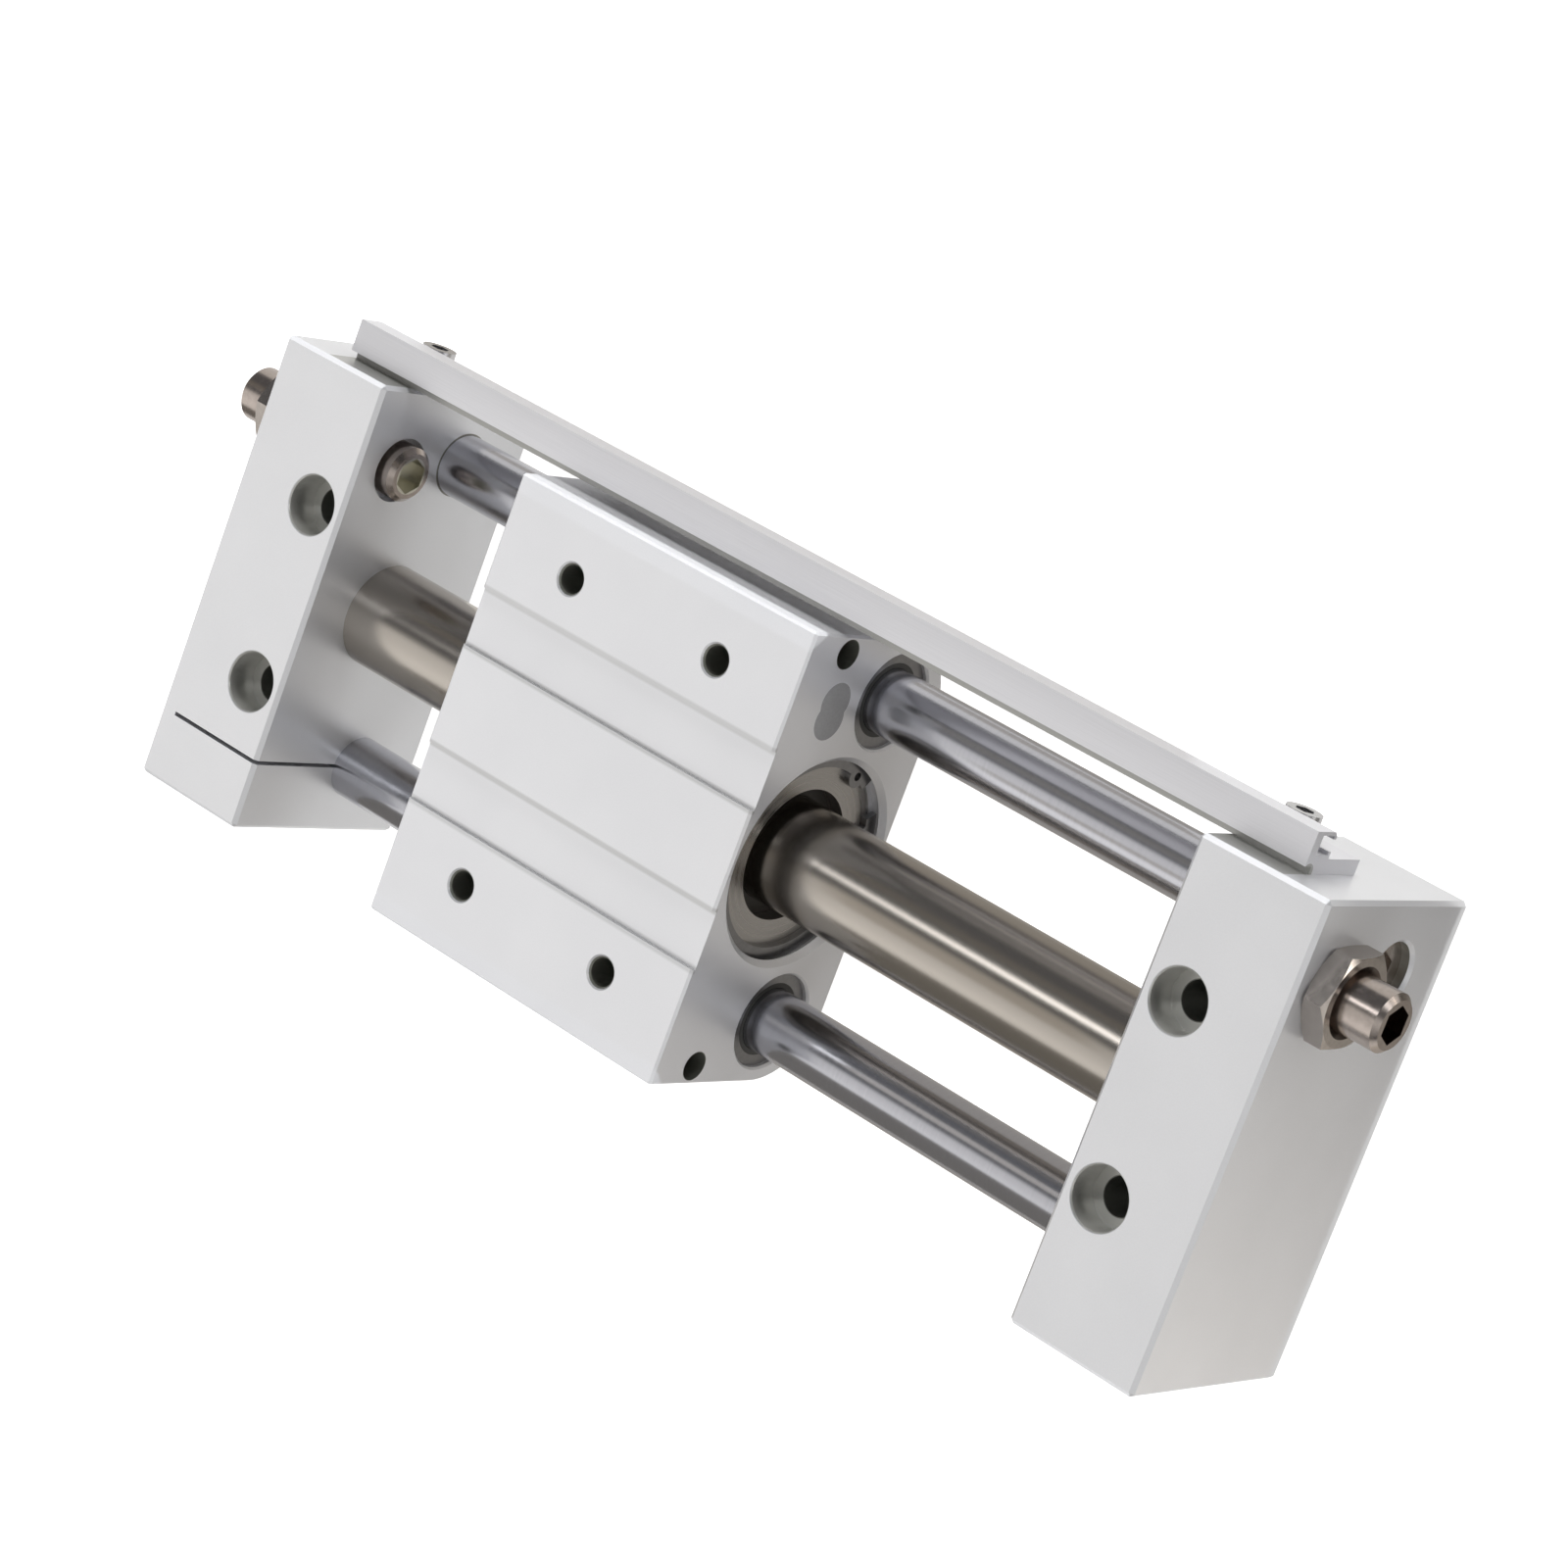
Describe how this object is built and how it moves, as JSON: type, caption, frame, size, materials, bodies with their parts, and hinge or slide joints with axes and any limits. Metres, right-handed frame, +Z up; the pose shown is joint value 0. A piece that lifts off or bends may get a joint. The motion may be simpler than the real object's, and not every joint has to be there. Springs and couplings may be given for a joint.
{
  "type": "rodless pneumatic cylinder",
  "caption": "Rodless pneumatic cylinder: a slide block on two guide shafts is drawn along a closed tube between end plates by a magnetically coupled piston.",
  "frame": {"origin": "midway between the end plates, below the tube's axis, on the plane the plates stand on", "axes": "+X along the tube, +Y towards the switch rail, +Z up out of the slide block's top"},
  "size_m": [0.357, 0.1258, 0.0585],
  "materials": {
    "plate_finish": "bead blasted, anodised",
    "rail_finish": "satin anodised extrusion",
    "tube_finish": "drawn stainless tube",
    "shaft_finish": "hard chromed and ground",
    "fastener_finish": "nickel plated",
    "ring_steel": "phosphated spring steel",
    "spacer_finish": "turned",
    "bush_steel": "ground",
    "yoke_steel": "rolled steel plate",
    "magnet_nickel": "nickel plated magnet",
    "seal_rubber": "nitrile rubber",
    "wear_plastic": "filled plastic bearing ring",
    "pad_plastic": "urethane pad"
  },
  "bodies": {
    "frame": {"end_plate_left": "plate_finish", "end_plate_right": "plate_finish", "switch_rail": "rail_finish", "cylinder_tube": "tube_finish", "guide_shaft_ported": "shaft_finish", "guide_shaft_solid": "shaft_finish", "stop_bolt_left": "fastener_finish", "stop_bolt_right": "fastener_finish", "lock_nut_left": "fastener_finish", "lock_nut_right": "fastener_finish", "clamp_screw": "fastener_finish", "set_screws": "fastener_finish", "rail_screws": "fastener_finish", "shaft_plugs": "fastener_finish", "tube_gaskets": "seal_rubber"},
    "carriage": {"slide_block": "plate_finish", "stop_pad_left": "pad_plastic", "stop_pad_right": "pad_plastic", "guide_bushes_front": "bush_steel", "guide_bushes_rear": "bush_steel", "bush_rings_front": "ring_steel", "bush_rings_rear": "ring_steel", "rod_seals_front": "seal_rubber", "rod_seals_rear": "seal_rubber", "outer_magnets": "magnet_nickel", "outer_yokes": "yoke_steel", "magnet_sleeve": "spacer_finish", "stack_spacers": "spacer_finish", "tube_wear_rings": "wear_plastic", "tube_scrapers": "wear_plastic", "snap_ring_left": "ring_steel", "snap_ring_right": "ring_steel"},
    "piston": {"piston_rod": "fastener_finish", "piston_left": "spacer_finish", "piston_right": "spacer_finish", "inner_magnets": "magnet_nickel", "inner_yokes": "yoke_steel", "piston_seals": "seal_rubber", "piston_wear_rings": "wear_plastic", "piston_nuts": "fastener_finish", "piston_bumpers": "seal_rubber"}
  },
  "joints": [
    {"name": "carriage_slide", "type": "slide", "parent": "frame", "child": "carriage", "axis": [1, 0, 0], "range_m": [-0.045, 0.105]},
    {"name": "piston_slide", "type": "slide", "parent": "frame", "child": "piston", "axis": [1, 0, 0], "range_m": [-0.045, 0.105]}
  ],
  "couplings": [
    {"joint": "piston_slide", "follows": "carriage_slide", "ratio": 1}
  ]
}
